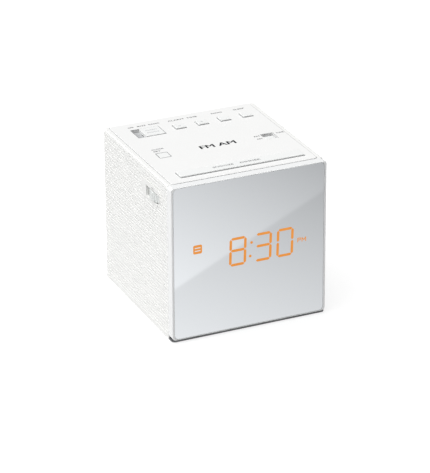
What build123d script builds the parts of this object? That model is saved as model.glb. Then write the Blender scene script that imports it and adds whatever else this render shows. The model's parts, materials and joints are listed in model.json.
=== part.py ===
from build123d import *
import math
import os

os.makedirs("parts", exist_ok=True)

# A cube-shaped clock radio. Millimetres, +Z up, the front faces -Y.
# The origin is on the table, under the middle of the cabinet.

# ---- cabinet ----
cabinet_width = 100.0
cabinet_depth = 102.5
cabinet_height = 98.5
foot_height = 0.8
wall = 2.2
long_edge_radius = 1.0
rear_corner_radius = 1.6
rib_pitch = 2.14
rib_groove_depth = 0.42
rib_top_margin = 1.2
roof = 2.8

# ---- front ----
bezel_depth = 5.8
bezel_side = 1.4
bezel_top = 0.5
bezel_bottom = 0.6
bezel_edge_radius = 0.45
bezel_corner_radius = 1.8
bezel_foot_radius = 2.4
bezel_wall = 2.0
bezel_web = 1.6
mirror_thickness = 1.5
mirror_sink = 0.15
mirror_corner_radius = 2.8
mirror_gap = 0.05

# ---- base ----
base_thickness = 2.0
base_lip = 0.9
base_gap = 0.15
seam_gap = 0.05
foot_radius = 4.5
foot_recess = 0.5
foot_inset = 12.0
foot_setback = 3.0

# ---- top panel ----
panel_border = 3.1
panel_rear_border = 1.0
panel_thickness = 1.7
panel_rise = 0.3
panel_corner_radius = 2.0
ledge = 3.0
ledge_front = 4.0
hook_length = 6.0
hook_thickness = 1.2
hook_reach = 0.9
hook_ys = (-8.0, 15.0)
boss_inset = 3.2
boss_front_x = 18.0
boss_radius = 2.5
boss_hole = 4.5
boss_behind_bar = 13.0

# ---- keys ----
key_size = 6.2
key_gap = 0.2
key_rise = 0.8
key_flange = 1.0
key_flange_thickness = 0.8
key_edge_radius = 0.35
key_pitch = 14.85
key_row_x = -7.5
key_row_y = 33.1
clock_key_x = -33.8
clock_key_y = -3.4
snooze_x = 1.7
snooze_width = 79.3
snooze_depth = 7.7
snooze_from_front = 16.2
snooze_guide_spread = 34.0
snooze_guide_radius = 1.25
snooze_guide_hole = 1.34
stem_radius = 1.4

# ---- slide knobs ----
alarm_opening = (17.8, 13.3)
alarm_opening_x = -27.9
alarm_opening_y = 33.3
alarm_knob = (12.4, 12.5)
alarm_travel = 5.0
alarm_knob_rise = 0.3
band_opening = (8.4, 9.0)
band_opening_x = 35.5
band_opening_y = -3.25
band_knob = (6.5, 4.5)
band_travel = 4.0
guide_thickness = 1.0
guide_overlap = 1.6
slide_stem = 2.4
slide_gap = 0.25
lever_size = 1.2
lever_gap = 0.05
lever_height = 2.3
slider_half = 1.3
slider_height = 2.2
can_wall = 0.8

# ---- circuit boards and small switches ----
board_thickness = 1.4
key_board_drop = 8.3
key_board_edge = 4.8
key_board_from_front = 11.5
push_switch_size = 6.0
push_switch_height = 3.6
push_plunger_radius = 1.7
push_plunger_height = 5.0
push_gap = 0.1
slide_switch_height = 4.6
main_board_drop = 27.8
main_board_edge = 1.2
shelf_lug = 7.0
shelf_height = 8.0
shelf_floor = 3.0
shelf_from_ends = 8.0

# ---- what stands on the main board ----
chip_length = 12.0
chip_width = 6.0
chip_y = 1.0
chip_lift = 0.6
chip_height = 3.4
chip_pitch = 1.5
chip_leg = 1.8
capacitor_radius = 4.0
capacitor_height = 11.5
capacitor_y = 15.0
coil_size = 7.0
coil_height = 8.0
coil_y = 12.0
coil_core_radius = 1.6

# ---- thumbwheels ----
wheel_radius = 14.0
wheel_thickness = 5.0
wheel_proud = 1.0
wheel_y = -24.75
wheel_drop = 14.25
wheel_grooves = 44
wheel_groove_radius = 0.45
wheel_web = 1.2
boss_rise = 0.25
boss_height = 11.0
boss_margin = 4.2
slot_gap = 0.75
volume_shaft_radius = 2.0
volume_body_radius = 8.0
volume_body_height = 8.0
volume_collar_radius = 3.4
volume_collar_height = 1.2
tuning_shaft_radius = 3.0
tuning_body_size = 19.0
tuning_body_height = 9.0
body_from_wall = 0.6
shaft_fit = 0.05
push_fit = 0.02

# ---- display ----
display_x = 0.9
display_drop = 47.4
display_width = 77.0
display_height = 24.0
display_case_depth = 8.0
display_board_height = 34.8
window_gap = 0.3
segment_film = 0.4
segment_thickness = 1.6
segment_gap = 0.2
digit_width = 9.4
digit_height = 16.7
digit_slant = 1.7
digit_waist = 0.8
digit_offsets = (-22.7, -8.5, 8.0, 22.2)
alarm_sign_x = -34.3
alarm_sign_z = 6.2
alarm_sign_size = 5.6
colon_dot_radius = 0.85
letter = 2.4
stroke = 0.5
ribbon_width = 24.0
ribbon_thickness = 0.5
ribbon_reach = 9.0

# ---- loudspeaker ----
speaker_size = 57.0
speaker_height = 37.0
speaker_y = 5.0
speaker_hole_spread = 48.0
speaker_boss = 2.5
speaker_flange = 1.0
cone_radius = 24.0
cone_depth = 9.0
cone_skin = 0.6
basket_spare = 4.0
voice_coil_radius = 6.5
voice_coil_length = 5.0
magnet_radius = 16.0
magnet_thickness = 9.0
coil_air_gap = 0.6
pole_radius = 5.4
grille_radius = 25.0
grille_slot = 0.9
grille_bar = 2.4
cone_gap = 0.9

# ---- power and aerial ----
transformer_from_left = 27.0
transformer_y = 16.0
core_width = 35.0
core_depth = 14.0
core_height = 29.0
core_limb = 8.0
winding_depth = 24.0
winding_gap = 0.2
tab_reach = 6.0
tab_thickness = 1.2
tab_post = 3.0
vent_setback = 22.0
vent_pitch = 4.0
vent_width = 1.6
vent_length = 14.0
gland_x = -30.0
gland_height = 16.0
gland_bore_radius = 3.0
gland_radius = 6.0
gland_flange = 1.2
gland_neck_radius = 4.6
gland_length = 7.2
rod_radius = 4.0
rod_length = 64.0
rod_y = 37.0
rod_lift = 7.2
aerial_coil_radius = 5.6
aerial_coil_length = 20.0
aerial_coil_x = -8.0

# ---- battery ----
cell_radius = 10.0
cell_thickness = 3.2
tray_x = 11.0
tray_width = 24.0
tray_length = 27.0
tray_height = 4.4
tray_gap = 0.15
tray_face = 1.8
tray_face_margin = 1.6
contact_thickness = 0.4
rail_thickness = 1.6

# ---- fasteners ----
case_screw_radius = 1.3
case_screw_length = 12.0
case_screw_head = 2.6
bezel_screw_length = 5.0
board_screw_radius = 1.0
board_screw_length = 3.6
board_screw_head = 1.9
screw_head_height = 1.3
screw_clearance = 0.3
screw_head_sink = 0.9
small_boss_radius = 2.4
large_boss_radius = 2.9
root = 0.5
post_size = 7.0
post_height = 22.0
post_hole_depth = 18.0
lug_depth = 3.0
lug_size = 8.0
bezel_lug_from_base = 27.0
bezel_lug_from_top = 40.0

# ---- places that follow from the sizes above ----
half_width = cabinet_width / 2
inner_x = half_width - wall
board_screw_hole = board_screw_radius + screw_clearance
board_screw_pilot = board_screw_radius + push_fit
front_y = -cabinet_depth / 2
rear_y = cabinet_depth / 2
seam_y = front_y + bezel_depth
base_z = foot_height
floor_z = base_z + base_thickness
top_z = base_z + cabinet_height
panel_z = top_z + panel_rise
panel_under = panel_z - panel_thickness
panel_half = half_width - panel_border
panel_rear = rear_y - panel_rear_border
opening_half = panel_half - ledge
opening_front = seam_y + ledge_front
opening_rear = panel_rear - ledge
roof_under = top_z - roof

mirror_front = front_y + mirror_sink
mirror_back = mirror_front + mirror_thickness
web_front = mirror_back + mirror_gap
web_back = web_front + bezel_web
bezel_low = base_z + base_lip
mirror_low = bezel_low + bezel_bottom
mirror_high = top_z - bezel_top

snooze_y = front_y + snooze_from_front
key_xs = [key_row_x + number * key_pitch for number in range(4)]
key_board_top = panel_under - key_board_drop
key_board_low = key_board_top - board_thickness
plunger_top = key_board_top + push_plunger_height
slide_switch_top = key_board_top + slide_switch_height
main_board_top = top_z - main_board_drop
main_board_low = main_board_top - board_thickness
shelf_low = main_board_low - shelf_height

volume_collar_top = main_board_top + volume_body_height + volume_collar_height
wheel_z = top_z - wheel_drop
wheel_x = half_width + wheel_proud - wheel_radius
wheel_low = wheel_z - wheel_thickness / 2
wheel_high = wheel_z + wheel_thickness / 2
shaft_top = wheel_low + (wheel_thickness - wheel_web) / 2
slot_half = math.sqrt(wheel_radius**2 - (inner_x - wheel_x) ** 2) + slot_gap
slot_height = wheel_thickness + 2 * slot_gap
boss_length = 2 * (slot_half + boss_margin)
boss_y = wheel_y + boss_margin - 1.0

display_z = top_z - display_drop
display_front = mirror_back + 0.1 + segment_film
display_back = display_front + display_case_depth
speaker_z = base_z + speaker_height
speaker_seat = inner_x - speaker_boss
speaker_hole_offset = speaker_hole_spread / 2
transformer_x = -half_width + transformer_from_left
gland_z = base_z + gland_height
rod_z = main_board_top + rod_lift
tray_low = floor_z + tray_gap
tray_top = tray_low + tray_height
tray_back = rear_y - tray_face
face_half = tray_width / 2 + tray_face_margin
alarm_knob_x = alarm_opening_x + (alarm_opening[0] - alarm_knob[0]) / 2 - key_gap / 2
band_knob_x = band_opening_x - (band_opening[0] - band_knob[0]) / 2 + key_gap / 2
band_knob_y = band_opening_y - (band_opening[1] - band_knob[1]) / 2 + key_gap / 2

panel_boss_places = [
    (side * x, y)
    for side in (-1, 1)
    for x, y in (
        (opening_half - boss_inset, opening_rear - boss_inset),
        (boss_front_x, snooze_y + boss_behind_bar),
    )
]
post_places = [
    (side * (inner_x - post_size / 2), y)
    for side in (-1, 1)
    for y in (seam_y + post_size / 2 + 0.1, rear_y - wall - post_size / 2)
]
foot_places = [
    (side * (inner_x - foot_inset), y)
    for side in (-1, 1)
    for y in (front_y + foot_inset + foot_setback, rear_y - wall - foot_inset)
]
bezel_lug_places = [
    (side * (inner_x - lug_size / 2), z)
    for side in (-1, 1)
    for z in (base_z + bezel_lug_from_base, top_z - bezel_lug_from_top)
]
shelf_places = [
    (side * (inner_x - shelf_lug / 2), y)
    for side in (-1, 1)
    for y in (seam_y + shelf_from_ends, rear_y - wall - shelf_from_ends)
]
display_boss_places = [
    (display_x + across, display_z + up)
    for across in (-34.0, 34.0)
    for up in (-15.2, 15.2)
]


# ---- shared shapes ----
def block(low, high, mode=Mode.ADD):
    """A box between two opposite corners, joined to or cut from the part being built."""
    size = [far - near for near, far in zip(low, high)]
    middle = tuple((near + far) / 2 for near, far in zip(low, high))
    with Locations(middle):
        Box(*size, mode=mode)


def rod(radius, low, high, mode=Mode.ADD):
    """An upright round bar from the point low up to the height high."""
    with Locations(low):
        Cylinder(radius, high - low[2], align=(Align.CENTER, Align.CENTER, Align.MIN), mode=mode)


def bar_y(radius, place, far_y, mode=Mode.ADD):
    """A round bar along Y from the point place to far_y."""
    x, y, z = place
    with Locations(Location((x, (y + far_y) / 2, z), (90, 0, 0))):
        Cylinder(radius, abs(far_y - y), mode=mode)


def bar_x(radius, place, far_x, mode=Mode.ADD):
    """A round bar along X from the point place to far_x."""
    x, y, z = place
    with Locations(Location(((x + far_x) / 2, y, z), (0, 90, 0))):
        Cylinder(radius, abs(far_x - x), mode=mode)


def save(part, name):
    """Names one finished piece and writes its STEP file."""
    part.label = name
    export_step(part, f"parts/{name}.step")


def pan_screw(radius, length, head_radius):
    """A pan-head screw: head above Z 0, shank below, and a cross recess."""
    with BuildPart() as screw:
        with BuildSketch(Plane.XZ):
            with BuildLine():
                Polyline((0, -length), (radius * 0.6, -length), (radius, -length + radius))
                Polyline((radius, -length + radius), (radius, 0), (head_radius, 0))
                Line((head_radius, 0), (head_radius, screw_head_height * 0.45))
                ThreePointArc(
                    (head_radius, screw_head_height * 0.45),
                    (head_radius * 0.74, screw_head_height * 0.86),
                    (0, screw_head_height),
                )
                Line((0, screw_head_height), (0, -length))
            make_face()
        revolve(axis=Axis.Z)
        slot = head_radius * 1.1
        arm = head_radius * 0.26
        depth = screw_head_height * 0.6
        block((-slot / 2, -arm / 2, screw_head_height - depth), (slot / 2, arm / 2, 9), Mode.SUBTRACT)
        block((-arm / 2, -slot / 2, screw_head_height - depth), (arm / 2, slot / 2, 9), Mode.SUBTRACT)
    return screw.part


def screw_group(screw, places):
    """Copies of one screw at a list of Locations, as a group of separate solids."""
    return Compound(children=[screw.moved(place) for place in places])


case_screw = pan_screw(case_screw_radius, case_screw_length, case_screw_head)
bezel_screw = pan_screw(case_screw_radius, bezel_screw_length, case_screw_head)
board_screw = pan_screw(board_screw_radius, board_screw_length, board_screw_head)
head_up = (0, 0, 0)
head_down = (180, 0, 0)
head_rearward = (-90, 0, 0)
head_leftward = (0, -90, 0)

# ---- cabinet shell ----
rib_count = int((cabinet_height - rib_top_margin) / rib_pitch)
rib_middle = top_z - rib_top_margin - (rib_count - 1) * rib_pitch / 2
groove_side = rib_groove_depth * math.sqrt(2)

with BuildPart() as cabinet_shell:
    block((-half_width, seam_y, base_z), (half_width, rear_y, top_z))
    fillet(cabinet_shell.edges().filter_by(Axis.Z).group_by(Axis.Y)[-1], rear_corner_radius)
    long_edges = cabinet_shell.faces().sort_by(Axis.Z)[-1].edges()
    fillet([edge for edge in long_edges if edge.center().Y > seam_y + 0.1], long_edge_radius)
    block((-inner_x, seam_y - 1, base_z - 1), (inner_x, rear_y - wall, roof_under), Mode.SUBTRACT)
    # horizontal ribs on the sides and the rear
    with BuildSketch(Plane.XZ.offset(-rear_y)):
        with Locations((0, rib_middle)):
            with GridLocations(cabinet_width, rib_pitch, 2, rib_count):
                Rectangle(groove_side, groove_side, rotation=45)
    extrude(amount=rear_y - seam_y + 1, mode=Mode.SUBTRACT)
    with BuildSketch(Plane.YZ.offset(-half_width)):
        with Locations((rear_y, rib_middle)):
            with GridLocations(1, rib_pitch, 1, rib_count):
                Rectangle(groove_side, groove_side, rotation=45)
    extrude(amount=cabinet_width, mode=Mode.SUBTRACT)
    # smooth bosses round the thumbwheel slots
    for side in (-1, 1):
        with BuildSketch(Plane.YZ.offset(side * inner_x)):
            with Locations((boss_y, wheel_z + 1.2)):
                SlotOverall(boss_length, boss_height)
        extrude(amount=side * (wall + boss_rise))
        low = min(side * (inner_x - 1), side * (half_width + 1))
        block(
            (low, wheel_y - slot_half, wheel_z - slot_height / 2),
            (low + wall + 2, wheel_y + slot_half, wheel_z + slot_height / 2),
            Mode.SUBTRACT,
        )
    # seat and opening for the top panel
    with BuildSketch(Plane.XY.offset(panel_under)):
        with Locations((0, (seam_y + panel_rear) / 2)):
            RectangleRounded(2 * panel_half, panel_rear - seam_y, panel_corner_radius)
    extrude(amount=roof, mode=Mode.SUBTRACT)
    block(
        (-opening_half, opening_front, roof_under - 1),
        (opening_half, opening_rear, top_z + 1),
        Mode.SUBTRACT,
    )
    # posts for the case screws, lugs for the bezel screws and shelves for the main board
    for x, y in post_places:
        side = math.copysign(1, x)
        block(
            (x - post_size / 2, y - post_size / 2, floor_z),
            (x + post_size / 2, y + post_size / 2, floor_z + post_height),
        )
        block(
            (min(x, side * (inner_x + root)), y - 1, floor_z),
            (max(x, side * (inner_x + root)), y + 1, floor_z + post_height),
        )
    for x, z in bezel_lug_places:
        side = math.copysign(1, x)
        block(
            (min(x - side * lug_size / 2, side * (inner_x + root)), seam_y, z - lug_size / 2),
            (max(x - side * lug_size / 2, side * (inner_x + root)), seam_y + lug_depth, z + lug_size / 2),
        )
    for x, y in shelf_places:
        side = math.copysign(1, x)
        block(
            (min(x - side * shelf_lug / 2, side * (inner_x + root)), y - shelf_lug / 2, shelf_low),
            (max(x - side * shelf_lug / 2, side * (inner_x + root)), y + shelf_lug / 2, main_board_low),
        )
        rod(board_screw_pilot, (x, y, shelf_low + shelf_floor), main_board_low, Mode.SUBTRACT)
    for x, y in post_places:
        rod(case_screw_radius + push_fit, (x, y, floor_z), floor_z + post_hole_depth, Mode.SUBTRACT)
    for x, z in bezel_lug_places:
        bar_y(
            case_screw_radius + screw_clearance,
            (x, seam_y - 1, z),
            seam_y + lug_depth + 1,
            Mode.SUBTRACT,
        )
    # loudspeaker bosses
    for y in (-1, 1):
        for z in (-1, 1):
            place = (speaker_seat, speaker_y + y * speaker_hole_offset, speaker_z + z * speaker_hole_offset)
            bar_x(small_boss_radius, place, inner_x + root)
            bar_x(board_screw_pilot, place, speaker_seat + board_screw_length, Mode.SUBTRACT)
    # sound slots in the bottoms of the grooves, with upright bars between them
    rows = [
        top_z - rib_top_margin - number * rib_pitch
        for number in range(rib_count)
        if abs(top_z - rib_top_margin - number * rib_pitch - speaker_z) < grille_radius - 2
    ]
    with BuildSketch(Plane.YZ.offset(inner_x - 0.5)):
        for row in rows:
            half_chord = math.sqrt(grille_radius**2 - (row - speaker_z) ** 2)
            with Locations((speaker_y, row)):
                Rectangle(2 * half_chord, grille_slot)
        with Locations((speaker_y, speaker_z)):
            with GridLocations(speaker_hole_spread / 4, 1, 5, 1):
                Rectangle(grille_bar, 2 * grille_radius + 2, mode=Mode.SUBTRACT)
    extrude(amount=wall + 1, mode=Mode.SUBTRACT)
    # mains lead hole and battery tray opening in the rear wall
    bar_y(gland_neck_radius + push_fit, (gland_x, rear_y - wall - 1, gland_z), rear_y + 1, Mode.SUBTRACT)
    bar_y(gland_radius + push_fit, (gland_x, rear_y - gland_flange, gland_z), rear_y + 1, Mode.SUBTRACT)
    block(
        (tray_x - tray_width / 2 - tray_gap, rear_y - wall - 1, floor_z - seam_gap),
        (tray_x + tray_width / 2 + tray_gap, rear_y + 1, tray_top + tray_gap),
        Mode.SUBTRACT,
    )
    block(
        (tray_x - face_half - tray_gap, tray_back - tray_gap, floor_z - seam_gap),
        (tray_x + face_half + tray_gap, rear_y + 1, tray_top + tray_face_margin + tray_gap),
        Mode.SUBTRACT,
    )
save(cabinet_shell.part, "cabinet_shell")

# ---- front bezel ----
mirror_half = half_width - bezel_side
with BuildPart() as front_bezel:
    block((-half_width, front_y, bezel_low), (half_width, seam_y - seam_gap, top_z))
    fillet(front_bezel.edges().filter_by(Axis.Y).group_by(Axis.Z)[-1], bezel_corner_radius)
    fillet(front_bezel.edges().filter_by(Axis.Y).group_by(Axis.Z)[0], bezel_foot_radius)
    fillet(front_bezel.faces().sort_by(Axis.Y)[0].edges(), bezel_edge_radius)
    with BuildSketch(Plane.XZ.offset(-front_y)):
        with Locations((0, (mirror_low + mirror_high) / 2)):
            RectangleRounded(
                2 * mirror_half + 2 * mirror_gap,
                mirror_high - mirror_low + 2 * mirror_gap,
                mirror_corner_radius,
            )
    extrude(amount=-(web_front - front_y), mode=Mode.SUBTRACT)
    block(
        (-half_width + bezel_wall, web_back, bezel_low + bezel_wall),
        (half_width - bezel_wall, seam_y + 1, top_z - bezel_wall),
        Mode.SUBTRACT,
    )
    for x, z in bezel_lug_places:
        bar_y(large_boss_radius, (x, web_front + root, z), seam_y - seam_gap)
        bar_y(case_screw_radius + push_fit, (x, web_front + 2 * root, z), seam_y, Mode.SUBTRACT)
    for x, z in display_boss_places:
        bar_y(small_boss_radius, (x, web_front + root, z), display_back)
        bar_y(board_screw_pilot, (x, display_back - board_screw_length, z), display_back + 1, Mode.SUBTRACT)
    window_half = display_width / 2 + window_gap
    window_rise = display_height / 2 + window_gap
    block(
        (display_x - window_half, front_y, display_z - window_rise),
        (display_x + window_half, web_back + 1, display_z + window_rise),
        Mode.SUBTRACT,
    )
save(front_bezel.part, "front_bezel")

# ---- half-silvered front panel ----
with BuildPart() as mirror_panel:
    with BuildSketch(Plane.XZ.offset(-mirror_front)):
        with Locations((0, (mirror_low + mirror_high) / 2)):
            RectangleRounded(2 * mirror_half, mirror_high - mirror_low, mirror_corner_radius)
    extrude(amount=-mirror_thickness)
    chamfer(mirror_panel.faces().sort_by(Axis.Y)[0].edges(), 0.15)
save(mirror_panel.part, "mirror_panel")

# ---- base, with the lip that shows under the bezel ----
with BuildPart() as bottom_cover:
    plate_half = inner_x - base_gap
    block((-half_width, front_y, base_z), (half_width, seam_y - seam_gap, bezel_low - seam_gap))
    fillet(bottom_cover.edges().filter_by(Axis.Z).group_by(Axis.Y)[0], bezel_foot_radius)
    block((-plate_half, seam_y - 1, base_z), (plate_half, seam_y + 1, bezel_low - seam_gap))
    block((-plate_half, seam_y, base_z), (plate_half, rear_y - wall - base_gap, floor_z - seam_gap))
    for x, y in post_places:
        rod(case_screw_radius + screw_clearance, (x, y, base_z - 1), floor_z + 1, Mode.SUBTRACT)
        rod(case_screw_head + screw_clearance, (x, y, base_z - 1), base_z + screw_head_sink, Mode.SUBTRACT)
    # foot recesses
    for x, y in foot_places:
        rod(foot_radius + seam_gap, (x, y, base_z - 1), base_z + foot_recess, Mode.SUBTRACT)
    # warm air slots under the transformer
    with Locations((transformer_x, transformer_y - vent_setback, floor_z)):
        with GridLocations(vent_pitch, 1, 7, 1):
            Box(vent_width, vent_length, 3 * base_thickness, mode=Mode.SUBTRACT)
    # posts for the transformer tabs
    for side in (-1, 1):
        x = transformer_x + side * (core_width / 2 + tab_reach / 2)
        rod(small_boss_radius, (x, transformer_y, floor_z - 1), floor_z + tab_post)
        rod(board_screw_pilot, (x, transformer_y, base_z + 1), floor_z + tab_post, Mode.SUBTRACT)
    # rails for the battery tray
    for side in (-1, 1):
        near = tray_x + side * (tray_width / 2 + tray_gap)
        far = near + side * rail_thickness
        block(
            (min(near, far), tray_back - tray_length, floor_z - 0.1),
            (max(near, far), rear_y - wall - base_gap, tray_top + 0.2),
        )
save(bottom_cover.part, "bottom_cover")

feet = []
for x, y in foot_places:
    with BuildPart() as foot:
        rod(foot_radius, (x, y, 0), base_z + foot_recess)
        chamfer(foot.faces().sort_by(Axis.Z)[0].edges(), 0.3)
    feet.append(foot.part)
save(Compound(children=feet), "rubber_feet")

# ---- top panel ----
with BuildPart() as top_panel:
    with BuildSketch(Plane.XY.offset(panel_under)):
        with Locations((0, (seam_y + panel_rear) / 2)):
            RectangleRounded(2 * panel_half - 0.1, panel_rear - seam_y - 0.1, panel_corner_radius)
    extrude(amount=panel_thickness)
    chamfer(top_panel.faces().sort_by(Axis.Z)[-1].edges(), 0.15)
    # openings for the keys, the bar and the slide knobs
    openings = [(x, key_row_y, key_size, key_size) for x in key_xs]
    openings.append((clock_key_x, clock_key_y, key_size + 0.4, key_size + 0.6))
    openings.append((snooze_x, snooze_y, snooze_width, snooze_depth))
    for x, y, across, deep in openings:
        block(
            (x - across / 2 - key_gap, y - deep / 2 - key_gap, panel_under - 1),
            (x + across / 2 + key_gap, y + deep / 2 + key_gap, panel_z + 1),
            Mode.SUBTRACT,
        )
    for x, y, size in (
        (alarm_opening_x, alarm_opening_y, alarm_opening),
        (band_opening_x, band_opening_y, band_opening),
    ):
        block(
            (x - size[0] / 2, y - size[1] / 2, panel_under - 1),
            (x + size[0] / 2, y + size[1] / 2, panel_z + 1),
            Mode.SUBTRACT,
        )
    # bosses that carry the key board, and hooks under the cabinet's ledge
    for x, y in panel_boss_places:
        rod(boss_radius, (x, y, key_board_top), panel_under + root)
        rod(board_screw_pilot, (x, y, key_board_top - 1), key_board_top + boss_hole, Mode.SUBTRACT)
    for side in (-1, 1):
        for y in hook_ys:
            outer = side * (opening_half - 0.1)
            inner = outer - side * hook_thickness
            barb = outer + side * hook_reach
            block(
                (min(outer, inner), y - hook_length / 2, roof_under - hook_thickness),
                (max(outer, inner), y + hook_length / 2, panel_under + root),
            )
            block(
                (min(inner, barb), y - hook_length / 2, roof_under - hook_thickness),
                (max(inner, barb), y + hook_length / 2, roof_under - 0.1),
            )
save(top_panel.part, "top_panel")


# ---- keys and their push switches ----
def push_key(x, y, across, deep, rise):
    """A key cap with a retaining flange and a stem that stands on its switch plunger."""
    half_x = across / 2
    half_y = deep / 2
    flange_top = panel_under - seam_gap
    with BuildPart() as key:
        block((x - half_x, y - half_y, flange_top - root), (x + half_x, y + half_y, panel_z + rise))
        if rise > key_edge_radius:
            fillet(key.faces().sort_by(Axis.Z)[-1].edges(), key_edge_radius)
        block(
            (x - half_x - key_flange, y - half_y - key_flange, flange_top - key_flange_thickness),
            (x + half_x + key_flange, y + half_y + key_flange, flange_top),
        )
        rod(stem_radius, (x, y, plunger_top), flange_top)
    return key


def push_plunger(x, y):
    """The round plunger of one push switch, with the collar that keeps it in the body."""
    with BuildPart() as plunger:
        rod(push_plunger_radius, (x, y, key_board_top + 1.6), plunger_top)
    return plunger


push_places = {
    "alarm_down": (key_xs[0], key_row_y),
    "alarm_up": (key_xs[1], key_row_y),
    "radio": (key_xs[2], key_row_y),
    "sleep": (key_xs[3], key_row_y),
    "clock": (clock_key_x, clock_key_y),
    "snooze": (snooze_x, snooze_y),
}
for name in ("alarm_down", "alarm_up", "radio", "sleep"):
    x, y = push_places[name]
    save(push_key(x, y, key_size, key_size, key_rise).part, f"{name}_key")
save(push_key(clock_key_x, clock_key_y, key_size + 0.4, key_size + 0.6, 0).part, "clock_key")
snooze_bar = push_key(snooze_x, snooze_y, snooze_width, snooze_depth, key_rise)
with snooze_bar:
    for side in (-1, 1):
        x = snooze_x + side * snooze_guide_spread
        rod(snooze_guide_radius, (x, snooze_y, key_board_low + 0.3), panel_under - 0.5)
save(snooze_bar.part, "snooze_bar")
for name, (x, y) in push_places.items():
    save(push_plunger(x, y).part, f"{name}_plunger")

switch_bodies = []
for x, y in push_places.values():
    with BuildPart() as body:
        half = push_switch_size / 2
        top = key_board_top + push_switch_height
        block((x - half, y - half, key_board_top), (x + half, y + half, top))
        chamfer(body.edges().filter_by(Axis.Z), 0.5)
        rod(push_plunger_radius + push_gap, (x, y, key_board_top + 0.8), top + 1, Mode.SUBTRACT)
    switch_bodies.append(body.part)
save(Compound(children=switch_bodies), "push_switches")

# ---- key board ----
with BuildPart() as key_board:
    block(
        (-inner_x + key_board_edge, front_y + key_board_from_front, key_board_low),
        (inner_x - key_board_edge, opening_rear - 0.2, key_board_top),
    )
    for x, y in panel_boss_places:
        rod(board_screw_hole, (x, y, key_board_low - 1), key_board_top + 1, Mode.SUBTRACT)
    for side in (-1, 1):
        x = snooze_x + side * snooze_guide_spread
        rod(snooze_guide_hole, (x, snooze_y, key_board_low - 1), key_board_top + 1, Mode.SUBTRACT)
save(key_board.part, "key_board")


# ---- slide knobs, guides, levers and switch bodies ----
def slide_guide(x, y, opening, stem_x, stem_y, travel_x, travel_y):
    """The dark plate under a slide opening, with the slot that the stem runs in."""
    top = panel_under - seam_gap
    half_x = opening[0] / 2 + guide_overlap
    half_y = opening[1] / 2 + guide_overlap
    with BuildPart() as guide:
        block((x - half_x, y - half_y, top - guide_thickness), (x + half_x, y + half_y, top))
        reach = slide_stem / 2 + slide_gap
        block(
            (stem_x - reach - travel_x, stem_y - reach, top - guide_thickness - 1),
            (stem_x + reach, stem_y + reach + travel_y, top + 1),
            Mode.SUBTRACT,
        )
    return guide.part


def slide_knob(x, y, size, top):
    """A sliding knob with its stem and the socket that grips the switch lever."""
    half_x = size[0] / 2
    half_y = size[1] / 2
    half = slide_stem / 2
    socket = lever_size / 2 + lever_gap
    with BuildPart() as knob:
        block((x - half_x, y - half_y, panel_under + seam_gap), (x + half_x, y + half_y, top))
        fillet(knob.faces().sort_by(Axis.Z)[-1].edges(), 0.3)
        block((x - half, y - half, slide_switch_top + 0.4), (x + half, y + half, panel_under + root))
        block(
            (x - socket, y - socket, slide_switch_top),
            (x + socket, y + socket, slide_switch_top + lever_height + 0.1),
            Mode.SUBTRACT,
        )
    return knob.part


def slide_lever(x, y):
    """The square lever that stands out of a slide switch, on its slider block."""
    half = lever_size / 2
    low = key_board_top + 1.2
    with BuildPart() as lever:
        block((x - half, y - half, low), (x + half, y + half, slide_switch_top + lever_height))
        block(
            (x - slider_half, y - slider_half, low),
            (x + slider_half, y + slider_half, low + slider_height),
        )
    return lever.part


def slide_switch(x, y, travel_x, travel_y):
    """A slide switch's can, hollow for its slider and slotted for its lever."""
    top = slide_switch_top
    slot = lever_size / 2 + slide_gap
    hollow = slider_half + 0.2
    outer = hollow + can_wall
    with BuildPart() as can:
        block((x - outer - travel_x, y - outer, key_board_top), (x + outer, y + outer + travel_y, top))
        block(
            (x - hollow - travel_x, y - hollow, key_board_top + can_wall),
            (x + hollow, y + hollow + travel_y, top - can_wall),
            Mode.SUBTRACT,
        )
        block(
            (x - slot - travel_x, y - slot, top - 2 * can_wall),
            (x + slot, y + slot + travel_y, top + 1),
            Mode.SUBTRACT,
        )
    return can.part


alarm_place = (alarm_opening_x, alarm_opening_y, alarm_opening)
band_place = (band_opening_x, band_opening_y, band_opening)
save(slide_guide(*alarm_place, alarm_knob_x, alarm_opening_y, alarm_travel, 0), "alarm_mode_guide")
save(slide_knob(alarm_knob_x, alarm_opening_y, alarm_knob, panel_z + alarm_knob_rise), "alarm_mode_knob")
save(slide_lever(alarm_knob_x, alarm_opening_y), "alarm_mode_lever")
save(slide_switch(alarm_knob_x, alarm_opening_y, alarm_travel, 0), "alarm_mode_switch")
save(slide_guide(*band_place, band_knob_x, band_knob_y, 0, band_travel), "band_guide")
save(slide_knob(band_knob_x, band_knob_y, band_knob, panel_z), "band_knob")
save(slide_lever(band_knob_x, band_knob_y), "band_lever")
save(slide_switch(band_knob_x, band_knob_y, 0, band_travel), "band_switch")

# ---- main board and what stands on it ----
with BuildPart() as main_board:
    block(
        (-inner_x + main_board_edge, seam_y + 3, main_board_low),
        (inner_x - main_board_edge, rear_y - wall - main_board_edge, main_board_top),
    )
    for x, y in shelf_places:
        rod(board_screw_hole, (x, y, main_board_low - 1), main_board_top + 1, Mode.SUBTRACT)
save(main_board.part, "main_board")

with BuildPart() as radio_chip:
    block(
        (-chip_length / 2, chip_y - chip_width / 2, main_board_top + chip_lift),
        (chip_length / 2, chip_y + chip_width / 2, main_board_top + chip_height),
    )
    chamfer(radio_chip.faces().sort_by(Axis.Z)[-1].edges(), 0.3)
    for side in (-1, 1):
        with Locations((0, chip_y + side * (chip_width + root) / 2, main_board_top + chip_leg / 2)):
            with GridLocations(chip_pitch, 1, 8, 1):
                Box(0.5, 1.4, chip_leg)
save(radio_chip.part, "radio_chip")

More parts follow.
